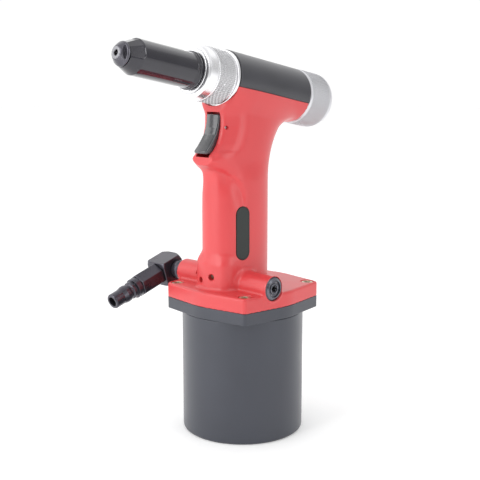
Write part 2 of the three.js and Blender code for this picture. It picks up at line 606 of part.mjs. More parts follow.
function hexAdapter() {
  const from = -ELBOW.front + GAP;
  const to = -ADAPTER.front;
  const corner = ADAPTER.flats / 2 / Math.cos(Math.PI / 6);
  const hex = upright(polygon(6, ADAPTER.flats, 0), from, to).rotate([0, -90, 0]);
  const ends = turned('x', [
    [0, from], [8.2, from], [corner + 0.3, from + 1], [corner + 0.3, to - 1], [8.2, to], [0, to],
  ], { sides: FINE });
  return cut(join(hex.intersect(ends), rod('x', 4.9, 7.5, from + 1)), rod('x', 3, 0, 40), rod('x', 4.9, 26, 40));
}

place('hex_adapter', 'blackSteel', hexAdapter(), elbow);
place('coupler_plug', 'blackSteel', turned('x', [
  [3, 26.5], [4.6, 26.5], [4.6, 35.3], [8, 35.3], [8, 39.6], [5.9, 40], [5.9, 41], [6.8, 41.4], [6.8, 43.3],
  [5.6, 44], [5.6, 45.2], [6.8, 46.6], [6.8, 49.8], [6, 53.2], [6, 61.2], [5.5, -PLUG_END], [3.9, -PLUG_END],
  [3.9, 45], [3, 44],
], { closed: true }), elbow);

export default gun;
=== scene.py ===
"""Looks of the air-hydraulic blind-rivet gun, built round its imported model.

Shapes are worked out in millimetres, in the model's frame or in a local one. They become metres in
`raw_object`.
"""

import json
import math

import bmesh
import bpy
import numpy as np
import openvdb
from mathutils import Matrix, Vector


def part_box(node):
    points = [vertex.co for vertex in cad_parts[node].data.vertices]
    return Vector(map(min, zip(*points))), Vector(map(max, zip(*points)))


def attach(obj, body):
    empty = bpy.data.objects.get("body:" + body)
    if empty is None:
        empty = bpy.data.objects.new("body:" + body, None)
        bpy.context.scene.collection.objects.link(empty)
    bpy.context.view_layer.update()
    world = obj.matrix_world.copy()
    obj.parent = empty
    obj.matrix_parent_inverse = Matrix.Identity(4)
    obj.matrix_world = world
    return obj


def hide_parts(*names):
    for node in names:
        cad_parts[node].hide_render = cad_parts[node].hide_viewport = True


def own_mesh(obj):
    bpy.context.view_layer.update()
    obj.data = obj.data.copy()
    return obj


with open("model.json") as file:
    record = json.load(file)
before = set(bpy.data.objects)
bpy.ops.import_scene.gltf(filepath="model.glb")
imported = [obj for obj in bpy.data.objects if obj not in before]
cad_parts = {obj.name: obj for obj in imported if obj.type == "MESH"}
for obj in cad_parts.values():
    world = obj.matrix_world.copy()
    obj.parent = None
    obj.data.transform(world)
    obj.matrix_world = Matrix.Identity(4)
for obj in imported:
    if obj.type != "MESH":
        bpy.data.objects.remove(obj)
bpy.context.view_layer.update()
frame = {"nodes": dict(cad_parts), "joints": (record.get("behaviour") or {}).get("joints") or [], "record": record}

MM = 0.001
JOINTS = {joint["name"]: joint for joint in frame["joints"]}
MOUNTS = {mount["name"]: mount for mount in frame["record"]["mounts"]}


# ---------------------------------------------------------------- local frames
def frame_at(point_m, turn_y=0.0):
    """From a local frame in millimetres to the model's frame in metres, turned about Y."""
    return Matrix.Translation(point_m) @ Matrix.Rotation(turn_y, 4, "Y") @ Matrix.Scale(MM, 4)


nose_way = Vector(JOINTS["collar_turn"]["axis"])
inlet_way = Vector(MOUNTS["inlet_face"]["axis"])
swivel_point = Vector(JOINTS["inlet_swivel"]["pos_m"])
trigger_point = Vector(JOINTS["trigger_pull"]["pos_m"])

WORLD = frame_at((0, 0, 0))
BARREL = frame_at(JOINTS["collar_turn"]["pos_m"], math.atan2(nose_way.z, -nose_way.x))
VALVE = frame_at((swivel_point.x, 0, swivel_point.z))
ELBOW = frame_at(swivel_point, math.atan2(inlet_way.z, -inlet_way.x))


def reach(node, where=WORLD):
    """Lowest and highest corner of a CAD node in a local frame, in millimetres."""
    back = where.inverted()
    points = np.array([back @ v.co for v in frame["nodes"][node].data.vertices])
    return points.min(0), points.max(0)


# ---------------------------------------------------------------- materials
class Finish:
    """A procedural material round one Principled shader."""

    def __init__(self, name, color, rough, metallic=0.0, coat=0.0, coat_rough=0.1):
        self.material = bpy.data.materials.new(name)
        self.material.use_nodes = True
        self.tree = self.material.node_tree
        self.shader = self.tree.nodes["Principled BSDF"]
        self.color = color
        self.rough = rough
        self.shader.inputs["Base Color"].default_value = (*color, 1)
        self.shader.inputs["Roughness"].default_value = rough
        self.shader.inputs["Metallic"].default_value = metallic
        self.shader.inputs["Coat Weight"].default_value = coat
        self.shader.inputs["Coat Roughness"].default_value = coat_rough
        self.place = self.node("ShaderNodeTexCoord").outputs["Object"]
        self.height = None

    def node(self, kind, **inputs):
        made = self.tree.nodes.new(kind)
        for key, value in inputs.items():
            self.feed(made, key.replace("_", " "), value)
        return made

    def feed(self, node, socket, value):
        if isinstance(value, bpy.types.NodeSocket):
            self.tree.links.new(value, node.inputs[socket])
        else:
            node.inputs[socket].default_value = value

    def noise(self, scale, detail=3.0):
        return self.node("ShaderNodeTexNoise", Vector=self.place, Scale=scale, Detail=detail).outputs["Fac"]

    def remap(self, value, low, high, to_low, to_high):
        made = self.node("ShaderNodeMapRange", Value=value)
        for key, number in (("From Min", low), ("From Max", high), ("To Min", to_low), ("To Max", to_high)):
            made.inputs[key].default_value = number
        return made.outputs["Result"]

    def math(self, operation, first, second):
        made = self.node("ShaderNodeMath")
        made.operation = operation
        self.feed(made, 0, first)
        self.feed(made, 1, second)
        return made.outputs["Value"]

    def bump(self, height, depth_mm):
        """Adds one more layer of relief."""
        made = self.node("ShaderNodeBump", Height=height)
        made.inputs["Distance"].default_value = depth_mm * MM
        made.inputs["Strength"].default_value = 1.0
        if self.height is not None:
            self.tree.links.new(self.height, made.inputs["Normal"])
        self.height = made.outputs["Normal"]
        self.tree.links.new(self.height, self.shader.inputs["Normal"])
        return self

    def grain(self, scale, depth_mm, detail=3.0):
        return self.bump(self.noise(scale, detail), depth_mm)

    def tint(self, share, color):
        """Mixes one more colour into the base colour."""
        mix = self.node("ShaderNodeMix")
        mix.data_type = "RGBA"
        self.feed(mix, 0, share)
        self.feed(mix, 6, self.color_out)
        mix.inputs[7].default_value = (*color, 1)
        self.color_out = mix.outputs[2]
        self.tree.links.new(self.color_out, self.shader.inputs["Base Color"])

    def mottled(self, scale, shade, rough):
        """Slow changes of colour and roughness over the surface."""
        patches = self.noise(scale, 4.0)
        self.color_out = (*[c * (1 - shade) for c in self.color], 1)
        self.tint(self.remap(patches, 0.3, 0.7, 0.0, 1.0), [min(1, c * (1 + shade)) for c in self.color])
        self.rough_out = self.remap(patches, 0.3, 0.7, self.rough - rough, self.rough + rough)
        self.tree.links.new(self.rough_out, self.shader.inputs["Roughness"])
        return self

    def wear_and_edge_highlight(self, color, rough, start=0.56, end=0.66, scale=900):
        """Lighter colour on convex edges, broken up by noise: partly rubbed wear, partly painted highlight. Comes
        after `mottled`.
        """
        edges = self.node("ShaderNodeNewGeometry").outputs["Pointiness"]
        share = self.remap(edges, start, end, 0.0, 1.0)
        share = self.math("MULTIPLY", share, self.remap(self.noise(scale, 2.0), 0.35, 0.65, 0.0, 1.0))
        self.tint(share, color)
        blend = self.node("ShaderNodeMix")
        self.feed(blend, 0, share)
        self.tree.links.new(self.rough_out, blend.inputs[2])
        blend.inputs[3].default_value = rough
        self.tree.links.new(blend.outputs[0], self.shader.inputs["Roughness"])
        return self

    def shade_hollows(self, color, start=0.49, end=0.42):
        """Painted shade: a darker colour in the hollows, where the surface curves inwards. Comes after `mottled`.
        """
        hollow_shade = self.remap(self.node("ShaderNodeNewGeometry").outputs["Pointiness"], start, end, 0.0, 1.0)
        self.tint(hollow_shade, color)
        return self

    def lathe_marks(self, where, axis, depth_mm, scale=2600):
        """Fine rings left by turning, about a local axis."""
        way = (where.to_3x3() @ Vector(axis)).normalized()
        offset = self.node("ShaderNodeVectorMath")
        offset.operation = "SUBTRACT"
        self.feed(offset, 0, self.place)
        offset.inputs[1].default_value = where.translation
        along = self.node("ShaderNodeVectorMath")
        along.operation = "DOT_PRODUCT"
        self.feed(along, 0, offset.outputs["Vector"])
        along.inputs[1].default_value = way
        length = self.node("ShaderNodeVectorMath")
        length.operation = "LENGTH"
        self.feed(length, 0, offset.outputs["Vector"])
        station = self.math("ADD", along.outputs["Value"], length.outputs["Value"])
        rings = self.node("ShaderNodeTexNoise")
        rings.noise_dimensions = "1D"
        rings.inputs["W"].default_value = 0
        self.feed(rings, "W", station)
        rings.inputs["Scale"].default_value = scale
        rings.inputs["Detail"].default_value = 2.0
        return self.bump(rings.outputs["Fac"], depth_mm)


BARREL_AXIS = (1, 0, 0)
SIDE_AXIS = (0, 1, 0)
UP_AXIS = (0, 0, 1)

red = Finish("red_coating", (0.64, 0.05, 0.055), 0.36, coat=0.25, coat_rough=0.22)
# The lighter red on the casting's edges is partly rubbed wear, partly a painted highlight.
red.mottled(30, 0.03, 0.05).wear_and_edge_highlight((0.8, 0.14, 0.15), 0.3, 0.57, 0.7).grain(900, 0.012).grain(170, 0.02)
slate = Finish("slate_coating", (0.045, 0.049, 0.064), 0.4, metallic=0.3, coat=0.35, coat_rough=0.25)
# The lighter grey on the cylinder's edges is partly rubbed wear, partly a painted highlight.
slate.mottled(26, 0.06, 0.05).wear_and_edge_highlight((0.2, 0.21, 0.22), 0.32, 0.57, 0.7).grain(1300, 0.01)
sleeve_black = Finish("sleeve_black", (0.032, 0.032, 0.04), 0.36, coat=0.35, coat_rough=0.28)
sleeve_black.mottled(40, 0.12, 0.05).grain(1500, 0.008)
bright = Finish("bright_steel", (0.92, 0.92, 0.94), 0.28, metallic=1.0)
# The darker colour in the collar's hollows and knurl grooves is painted shade.
bright.mottled(60, 0.03, 0.04).shade_hollows((0.14, 0.14, 0.15), 0.5, 0.46)
bright.lathe_marks(BARREL, BARREL_AXIS, 0.004)
knurl_alloy = Finish("knurled_alloy", (0.74, 0.74, 0.77), 0.36, metallic=1.0)
# The darker colour in the cap's knurl grooves is painted shade.
knurl_alloy.mottled(60, 0.05, 0.05).shade_hollows((0.22, 0.22, 0.23), 0.5, 0.46).grain(2500, 0.004)
black_gloss = Finish(
    "black_oxide_polished", (0.019, 0.018, 0.026), 0.16, metallic=0.2, coat=0.6, coat_rough=0.08
)
# The grey on the polished tube's edges is partly rubbed wear, partly a painted highlight.
black_gloss.mottled(50, 0.2, 0.04).wear_and_edge_highlight((0.22, 0.22, 0.23), 0.25, 0.64, 0.8)
black_gloss.lathe_marks(BARREL, BARREL_AXIS, 0.0015, 1500)
black_nose = Finish("black_oxide_nose", (0.1, 0.097, 0.115), 0.26, metallic=0.85, coat=0.3)
# The grey on the nosepiece's edges is partly rubbed wear, partly a painted highlight.
black_nose.mottled(70, 0.2, 0.05).wear_and_edge_highlight((0.4, 0.4, 0.42), 0.3, 0.56, 0.66)
black_nose.lathe_marks(BARREL, BARREL_AXIS, 0.002)
mouth_steel = Finish("mouth_steel", (0.3, 0.3, 0.32), 0.35, metallic=0.9).mottled(200, 0.05, 0.05)
mouth_steel.lathe_marks(BARREL, BARREL_AXIS, 0.002)


def black_oxide(name, where, axis):
    """Blackened turned steel, lighter on its edges: partly rubbed wear, partly painted highlight."""
    made = Finish(name, (0.075, 0.072, 0.09), 0.3, metallic=0.8, coat=0.3)
    made.mottled(70, 0.2, 0.06).wear_and_edge_highlight((0.25, 0.25, 0.26), 0.3, 0.57, 0.7)
    return made.lathe_marks(where, axis, 0.003).grain(1800, 0.004)


black_turned = black_oxide("black_oxide_turned", ELBOW, BARREL_AXIS)
black_side = black_oxide("black_oxide_side", VALVE, SIDE_AXIS)
trigger_plastic = Finish("trigger_plastic", (0.03, 0.031, 0.036), 0.2, coat=1.0, coat_rough=0.12)
trigger_plastic.mottled(80, 0.1, 0.05).grain(1700, 0.006)
plate_gloss = Finish("plate_gloss", (0.008, 0.013, 0.011), 0.45, coat=0.1, coat_rough=0.3)
plate_gloss.mottled(120, 0.2, 0.05).grain(2400, 0.003)
rubber = Finish("rubber", (0.014, 0.014, 0.015), 0.75).mottled(150, 0.2, 0.08).grain(2600, 0.01)
felt = Finish("felt", (0.5, 0.44, 0.33), 0.95).mottled(300, 0.15, 0.03).grain(1500, 0.15, 6.0)
steel = Finish("steel", (0.5, 0.5, 0.52), 0.28, metallic=1.0).mottled(120, 0.06, 0.06).grain(2200, 0.003)
screw_steel = Finish("screw_steel", (0.66, 0.6, 0.46), 0.34, metallic=1.0).mottled(200, 0.08, 0.08)
screw_steel.grain(2600, 0.004)
# The lighter steel of the plug's rim and hub rings is a painted highlight on the black plug.
ring_highlight_steel = Finish("ring_highlight_steel", (0.15, 0.155, 0.18), 0.24, metallic=1.0).mottled(200, 0.08, 0.05)
ring_highlight_steel.grain(2400, 0.003)


def turned(name, color, rough, scale, shade, marks, where, axis):
    """A bare metal with fine turning marks round an axis."""
    made = Finish(name, color, rough, metallic=1.0).mottled(scale, shade, 0.06)
    return made.lathe_marks(where, axis, marks)


steel_barrel = turned("steel_barrel", (0.5, 0.5, 0.52), 0.26, 120, 0.06, 0.003, BARREL, BARREL_AXIS)
steel_up = turned("steel_up", (0.52, 0.52, 0.54), 0.26, 120, 0.06, 0.003, WORLD, UP_AXIS)
BRASS = (0.62, 0.43, 0.16)
brass = turned("brass", BRASS, 0.3, 120, 0.08, 0.003, BARREL, BARREL_AXIS)
brass_up = turned("brass_up", BRASS, 0.3, 120, 0.08, 0.003, WORLD, UP_AXIS)
brass_side = turned("brass_side", BRASS, 0.3, 120, 0.08, 0.003, VALVE, SIDE_AXIS)
ALLOY = (0.62, 0.63, 0.65)
alloy_up = turned("alloy_up", ALLOY, 0.35, 90, 0.05, 0.005, WORLD, UP_AXIS)
alloy_barrel = turned("alloy_barrel", ALLOY, 0.35, 90, 0.05, 0.005, BARREL, BARREL_AXIS)


# ---------------------------------------------------------------- meshes
def raw_object(name, points, faces, where=WORLD):
    """A mesh object in metres, with its faces pointing out."""
    mesh = bpy.data.meshes.new(name)
    mesh.from_pydata([tuple(p) for p in points], [], faces)
    mesh.transform(where)
    body = bmesh.new()
    body.from_mesh(mesh)
    bmesh.ops.remove_doubles(body, verts=body.verts, dist=1e-7)
    if body.calc_volume(signed=True) < 0:
        bmesh.ops.reverse_faces(body, faces=body.faces)
    body.to_mesh(mesh)
    body.free()
    obj = bpy.data.objects.new(name, mesh)
    bpy.context.scene.collection.objects.link(obj)
    return obj


def cut(target, tools):
    """Cuts solids from a target, and removes them."""
    for tool in tools:
        step = target.modifiers.new("step", "BOOLEAN")
        step.operation = "DIFFERENCE"
        step.solver = "MANIFOLD"
        step.object = tool
    bpy.context.view_layer.update()
    view = bpy.context.evaluated_depsgraph_get()
    old = target.data
    target.data = bpy.data.meshes.new_from_object(target.evaluated_get(view))
    target.modifiers.clear()
    bpy.data.meshes.remove(old)
    for tool in tools:
        mesh = tool.data
        bpy.data.objects.remove(tool)
        bpy.data.meshes.remove(mesh)


def dress(obj, finish, body, nodes=(), sharp=34):
    """Finishes a shape as a piece of the gun: shading, material, body and the CAD nodes it stands for."""
    mesh = obj.data
    mesh.materials.clear()
    mesh.materials.append(finish.material)
    mesh.polygons.foreach_set("material_index", np.zeros(len(mesh.polygons), dtype=np.int32))
    mesh.polygons.foreach_set("use_smooth", np.ones(len(mesh.polygons), dtype=bool))
    mesh.set_sharp_from_angle(angle=math.radians(sharp))
    even = obj.modifiers.new("even_shading", "WEIGHTED_NORMAL")
    even.keep_sharp = True
    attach(obj, body)
    if nodes:
        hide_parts(*nodes)
    return obj


def softened(points, radius, closed=False, steps=3):
    """A profile with each of its corners rounded, as far as its neighbours leave room."""
    points = [np.array(p, dtype=float) for p in points]
    count = len(points)
    out = []
    for i, corner in enumerate(points):
        if not closed and i in (0, count - 1):
            out.append(corner)
            continue
        before, after = points[i - 1], points[(i + 1) % count]
        to_before, to_after = before - corner, after - corner
        near, far = np.linalg.norm(to_before), np.linalg.norm(to_after)
        turn = math.acos(np.clip(-to_before @ to_after / (near * far), -1, 1))
        if turn < math.radians(12):
            out.append(corner)
            continue
        room = min(radius * math.tan(turn / 2), 0.42 * near, 0.42 * far)
        start, end = corner + to_before / near * room, corner + to_after / far * room
        for step in range(steps + 1):
            t = step / steps
            out.append((1 - t) ** 2 * start + 2 * t * (1 - t) * corner + t * t * end)
    return [tuple(p) for p in out]


def laid_along(axis, table, at=(0, 0)):
    """Points made round Z, turned to lie along an axis and moved to a place across it."""
    if axis == "x":
        return np.stack([-table[:, 2], table[:, 1] + at[0], table[:, 0] + at[1]], 1)
    if axis == "y":
        return np.stack([table[:, 0] + at[0], table[:, 2], -table[:, 1] + at[1]], 1)
    return table + np.array([at[0], at[1], 0])


def lathe(name, axis, profile, where=WORLD, sides=96, closed=False, soft=0.3, relief=None, at=(0, 0)):
    """A turned solid. The profile lists radius and station. Along "x" a station counts towards the nose."""
    outline = softened(profile, soft, closed) if soft else [tuple(p) for p in profile]
    points, rings = [], []
    angles = np.arange(sides) * 2 * math.pi / sides
    for r, s in outline:
        if r < 1e-6:
            rings.append([len(points)])
            points.append((0.0, 0.0, s))
            continue
        radii = r + (relief(angles, s) if relief else 0) * np.ones(sides)
        rings.append(list(range(len(points), len(points) + sides)))
        points.extend(zip(radii * np.cos(angles), radii * np.sin(angles), [s] * sides))
    pairs = list(zip(rings, rings[1:] + rings[:1])) if closed else list(zip(rings, rings[1:]))
    faces = []
    for low, high in pairs:
        if len(low) == 1 and len(high) == 1:
            continue
        for i in range(sides):
            j = (i + 1) % sides
            if len(low) == 1:
                faces.append((low[0], high[j], high[i]))
            elif len(high) == 1:
                faces.append((low[i], low[j], high[0]))
            else:
                faces.append((low[i], low[j], high[j], high[i]))
    return raw_object(name, laid_along(axis, np.array(points), at), faces, where)


def drum(axis, r, start, end, where=WORLD, sides=64, at=(0, 0)):
    """A plain cylinder to cut with."""
    return lathe("cutter", axis, [(0, start), (r, start), (r, end), (0, end)], where, sides, soft=0, at=at)


def inset(outline, amount):
    """A closed outline, anticlockwise, moved inwards."""
    table = np.array(outline, dtype=float)
    ahead = np.roll(table, -1, 0) - table
    behind = table - np.roll(table, 1, 0)
    ahead /= np.linalg.norm(ahead, axis=1)[:, None]
    behind /= np.linalg.norm(behind, axis=1)[:, None]
    way = ahead + behind
    way /= np.maximum(np.linalg.norm(way, axis=1)[:, None], 1e-9)
    inwards = np.stack([-way[:, 1], way[:, 0]], 1)
    lean = np.clip(np.sum(way * ahead, 1), 0.4, 1)
    return table + inwards * (amount / lean)[:, None]


def layered(name, outline, levels, turn=lambda u, v, w: (u, v, w), where=WORLD):
    """A closed outline carried through levels of height and inset, with flat ends."""
    rings = [[turn(u, v, height) for u, v in inset(outline, amount)] for height, amount in levels]
    count = len(outline)
    faces = [tuple(range(count))[::-1]]
    for level in range(len(rings) - 1):
        low = level * count
        for i in range(count):
            j = (i + 1) % count
            faces.append((low + i, low + j, low + count + j, low + count + i))
    top = (len(rings) - 1) * count
    faces.append(tuple(range(top, top + count)))
    return raw_object(name, [p for ring in rings for p in ring], faces, where)


def arc(x, y, r, start, end, steps):
    """Points of a circle's arc, in degrees."""
    angles = np.radians(np.linspace(start, end, steps + 1))
    return list(zip(x + r * np.cos(angles), y + r * np.sin(angles)))


def coil(name, radius, wire, start, end, turns, where, axis, sides=10, steps=28):
    """A compression spring with closed end turns, reaching from one station on an axis to another."""
    count = int(steps * turns)
    dead = 0.9
    closing = 1.96 * wire
    low, length = start + wire, end - start - 2 * wire
    t = np.linspace(0, turns, count + 1)
    height = low + np.interp(t, [0, dead, turns - dead, turns], [0, closing, length - closing, length])
    angle = 2 * math.pi * t
    points, faces = [], []
    for i in range(count + 1):
        outwards = np.array([math.cos(angle[i]), math.sin(angle[i]), 0])
        for k in range(sides):
            a = 2 * math.pi * k / sides
            lift = height[i] + wire * math.sin(a)
            points.append((radius + wire * math.cos(a)) * outwards + np.array([0, 0, lift]))
    for i in range(count):
        for k in range(sides):
            a, b = i * sides + k, i * sides + (k + 1) % sides
            faces.append((a, b, b + sides, a + sides))
    faces.append(tuple(range(sides))[::-1])
    faces.append(tuple(range(count * sides, count * sides + sides)))
    return raw_object(name, laid_along(axis, np.array(points)), faces, where)


# ---------------------------------------------------------------- distance fields
def grid(low, high, step):
    """Coordinates of a block of points, as three arrays that broadcast."""
    axes = [np.arange(a, b + step, step, dtype=np.float32) for a, b in zip(low, high)]
    return np.meshgrid(*axes, indexing="ij", sparse=True)


def from_field(name, field, low, step, where=WORLD):
    """The surface where a field of distances is zero."""
    values = openvdb.FloatGrid(background=9.0)
    values.copyFromArray(np.ascontiguousarray(field, dtype=np.float32))
    points, quads = values.convertToQuads(isovalue=0)
    return raw_object(name, points * step + np.array(low), quads.tolist(), where)


def polygon_distance(outline, u, v):
    """Signed distance to a closed outline, negative inside."""
    u, v = np.broadcast_arrays(u, v)
    nearest = np.full(u.shape, 1e9, dtype=np.float32)
    inside = np.zeros(u.shape, dtype=bool)
    for (u0, v0), (u1, v1) in zip(outline, outline[1:] + outline[:1]):
        du, dv = u1 - u0, v1 - v0
        t = np.clip(((u - u0) * du + (v - v0) * dv) / (du * du + dv * dv), 0, 1)
        nearest = np.minimum(nearest, (u - u0 - t * du) ** 2 + (v - v0 - t * dv) ** 2)
        if dv != 0:
            crosses = ((v0 > v) != (v1 > v)) & (u < du * (v - v0) / dv + u0)
            inside ^= crosses
    return np.where(inside, -1, 1) * np.sqrt(nearest)


def round_join(a, b, r):
    """Union with a fillet."""
    u, v = np.maximum(r - a, 0), np.maximum(r - b, 0)
    return np.maximum(r, np.minimum(a, b)) - np.sqrt(u * u + v * v)


def round_meet(a, b, r):
    """Intersection with a rounded edge."""
    u, v = np.maximum(r + a, 0), np.maximum(r + b, 0)
    return np.minimum(-r, np.maximum(a, b)) + np.sqrt(u * u + v * v)


def smoothstep(value, low, high):
    t = np.clip((value - low) / (high - low), 0, 1)
    return t * t * (3 - 2 * t)


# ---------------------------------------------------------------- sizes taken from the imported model
cup_high = reach("air_cylinder")[1]
body_low, body_high = reach("handle_body")
CUP_R = 47.0
CUP_TOP = float(cup_high[2]) + 0.1
CUP_FLANGE = 9.0
SIDE_R, TIP_R, CORNER_R, SCREW_AT = float(cup_high[0]), 57.9, 3.8, 35.6
BASE_BOTTOM = float(body_low[2]) - 0.1
BASE_TOP = BASE_BOTTOM + 11.15
VALVE_X, VALVE_Z = swivel_point.x / MM, swivel_point.z / MM
BOSS_R = 9.7
HEAD_R, CORE_R, BORE_R = 21.2, 18.3, 15.8
HEAD_FRONT, HEAD_REAR, SPLIT = 24.0, -56.0, -6.0
DRUM_X, DRUM_Y, DRUM_HALF = -18.2, 0.5, 17.3
DRUM_FRONT_X, DRUM_FRONT_R = -4.5, 34.0
VENT_Y = 3.0


def corner_hull(u, v):
    """Distance to the flange outline: a circle with a round corner on each diagonal, joined by tangents."""
    a, b = np.abs(u), np.abs(v)
    along, across = (a + b) / math.sqrt(2), np.abs(a - b) / math.sqrt(2)
    gap = TIP_R - CORNER_R
    lean = (SIDE_R - CORNER_R) / gap
    rise = math.sqrt(1 - lean * lean)
    k = -lean * across + rise * along
    round_side = np.hypot(along, across) - SIDE_R
    round_tip = np.hypot(along - gap, across) - CORNER_R
    straight = across * rise + along * lean - SIDE_R
    return np.where(k < 0, round_side, np.where(k > rise * gap, round_tip, straight))


def flange_outline():
    """The same outline as points, anticlockwise, with the straight runs divided as finely as the arcs."""
    gap = TIP_R - CORNER_R
    spread = math.degrees(math.acos((SIDE_R - CORNER_R) / gap))
    points = []
    for diagonal in (45, 135, 225, 315):
        tip = corner_arc(gap, diagonal, spread)
        side = arc(0, 0, SIDE_R, diagonal + spread, diagonal + 90 - spread, 8)
        following = corner_arc(gap, diagonal + 90, spread)
        points += tip[:-1] + run(tip[-1], side[0], 14) + side[1:-1] + run(side[-1], following[0], 14)[:-1]
    return points


def corner_arc(gap, diagonal, spread):
    """The rounding at one of the flange's corners."""
    x, y = arc(0, 0, gap, diagonal, diagonal, 0)[0]
    return arc(x, y, CORNER_R, diagonal - spread, diagonal + spread, 14)


def run(start, end, steps):
    """Points along a straight line, both ends included."""
    return [tuple(np.array(start) + (np.array(end) - start) * i / steps) for i in range(steps + 1)]


SCREW_PLACES = [(x * SCREW_AT, y * SCREW_AT) for x, y in ((-1, -1), (1, -1), (1, 1), (-1, 1))]


# ---------------------------------------------------------------- handle casting
def by_height(z, heights, values):
    """A value that changes with height, read from a short list."""
    return np.interp(z.ravel(), heights, values).reshape(z.shape).astype(np.float32)


def handle_field(x, y, z):
    side = np.abs(y)
    # The flange, with the long boss across it and the exhaust drum in front of the grip.
    flange = np.maximum(round_meet(corner_hull(x, y), z - BASE_TOP, 1.7), BASE_BOTTOM - z)
    pipe = np.hypot(x - VALVE_X, z - VALVE_Z) - BOSS_R
    boss = round_meet(pipe, np.maximum(y - 48.0, -46.3 - y), 0.7)
    web = np.maximum(np.maximum(np.abs(x - VALVE_X) - 7.0, side - 43.0), np.abs(z - 114.0) - 5.0)
    boss = np.minimum(boss, web)
    drum_front = np.hypot(x - DRUM_FRONT_X, y - DRUM_Y) - DRUM_FRONT_R
    drum_plan = round_meet(drum_front, np.abs(y - DRUM_Y) - DRUM_HALF, 5.5)
    vent_drum = round_meet(np.maximum(drum_plan, x - DRUM_X), z - 142.0, 8.5)
    vent_drum = np.maximum(vent_drum, BASE_BOTTOM + 4 - z)
    # The grip: a rounded oval below, and a flat front with slanting sides round the trigger.
    rise = np.clip(z - 197.0, 0, 45)
    back = np.minimum(20.0 + 56.0 - np.sqrt(56.0 ** 2 - rise ** 2), 41.0)
    oval = superellipse(x, side, -8.4, -36.0, back, 19.5, 2.3)
    front = by_height(z, *zip(*FRONT_LINE))
    silhouette = polygon_distance(FRONT_PROFILE, x, z) - 0.9
    panel = (side - 9.8 - (x - front) * 0.55 + 1.6 * smoothstep(-front, 41, 47)) * 0.876
    rear = superellipse(x, side, -6.0, -58.0, back, 18.0, 2.5)
    edge = by_height(z, (204, 211, 216.5, 220), (4.5, 5.5, 4.5, 1.6))
    upper = round_meet(round_meet(silhouette, panel, edge), rear, 2.4)
    share = smoothstep(z, 195.0, 211.5)
    grip = oval * (1 - share) + upper * share
    # The crease below the trigger housing: the grip's front dips in along it.
    ahead = side_of_line(CREASE, x, z)
    depth = by_height(z, (174, 184, 196, 206), (0, 1.3, 2.8, 2.6))
    dip = np.where(ahead < 0, np.exp(-(ahead / 9.0) ** 2), 1 - smoothstep(ahead, 0, 3.0))
    grip = grip + depth * dip * smoothstep(side, 7.0, 12.0)
    # The head: a cylinder on the barrel's axis.
    tilt = math.atan2(nose_way.z, -nose_way.x)
    pivot = JOINTS["collar_turn"]["pos_m"][2] / MM
    along = x * math.cos(tilt) - (z - pivot) * math.sin(tilt)
    above = x * math.sin(tilt) + (z - pivot) * math.cos(tilt)
    head = np.maximum(np.hypot(y, above) - HEAD_R, np.maximum(along + HEAD_REAR, -HEAD_FRONT - along))
    grip = np.maximum(grip, above + 4.0)
    top = round_join(grip, head, 9.5)
    top = np.maximum(top, np.maximum(along + HEAD_REAR, -9.0 - HEAD_FRONT - along))
    top = round_join(round_join(top, vent_drum, 3.2), boss, 4.0)
    return round_join(flange, top, 2.4)


def superellipse(x, side, centre, front, back, half, power):
    """First-order distance to an oval with different reaches to the front and to the back."""
    long_half = np.where(x < centre, centre - front, back - centre)
    u = np.abs(x - centre) / long_half + 1e-4
    v = side / half + 1e-4
    k = (u ** power + v ** power) ** (1 / power)
    slope = k ** (1 - power) * np.sqrt((u ** (power - 1) / long_half) ** 2 + (v ** (power - 1) / half) ** 2)
    return (k - 1) / slope


def side_of_line(line, u, v):
    """Distance to an open line, negative on its right."""
    nearest = np.full(np.broadcast_shapes(u.shape, v.shape), 1e9, dtype=np.float32)
    sign = np.ones_like(nearest)
    for (u0, v0), (u1, v1) in zip(line, line[1:]):
        du, dv = u1 - u0, v1 - v0
        t = np.clip(((u - u0) * du + (v - v0) * dv) / (du * du + dv * dv), 0, 1)
        gap = (u - u0 - t * du) ** 2 + (v - v0 - t * dv) ** 2
        side = du * (v - v0) - dv * (u - u0)
        sign = np.where(gap < nearest, np.sign(side), sign)
        nearest = np.minimum(nearest, gap)
    return sign * np.sqrt(nearest)


# The crease on the grip's side, as a line in the side view.
CREASE = [(-60, 212.5), (-47, 207.5), (-40, 205), (-32.5, 202.4), (-28.2, 200.1), (-24.5, 197),
          (-21.6, 194), (-19.8, 190.5), (-18.8, 186), (-18.4, 178), (-18.4, 150)]
# Height and the place of the front edge, for the slanting sides.
FRONT_LINE = [(150, -36.0), (190, -36.0), (201, -36.2), (204, -38.0), (208, -42.5), (211, -46.0),
              (213, -47.0), (215.5, -47.0), (217, -43.5), (219.7, -38.3), (224, -35.0), (230, -32.4),
              (237, -30.6), (262, -30.2)]
# The side view of the grip's upper front, with the ledge under the trigger.
FRONT_PROFILE = [(-29.3, 275.0), (-29.3, 250.0), (-29.7, 237.0), (-31.5, 230.0), (-34.1, 224.0),
                 (-37.6, 219.3), (-41.6, 216.2), (-44.6, 215.4), (-46.1, 214.6), (-46.1, 213.0),
                 (-44.9, 211.2), (-41.4, 208.4), (-37.2, 204.6), (-35.3, 202.0), (-35.1, 199.0),
                 (-35.1, 180.0), (60.0, 180.0), (60.0, 275.0)]

STEP = 0.8
field_low, field_high = body_low - 3 * STEP, body_high + 3 * STEP
field = handle_field(*grid(field_low, field_high, STEP))
handle = from_field("handle", field, field_low, STEP)
del field


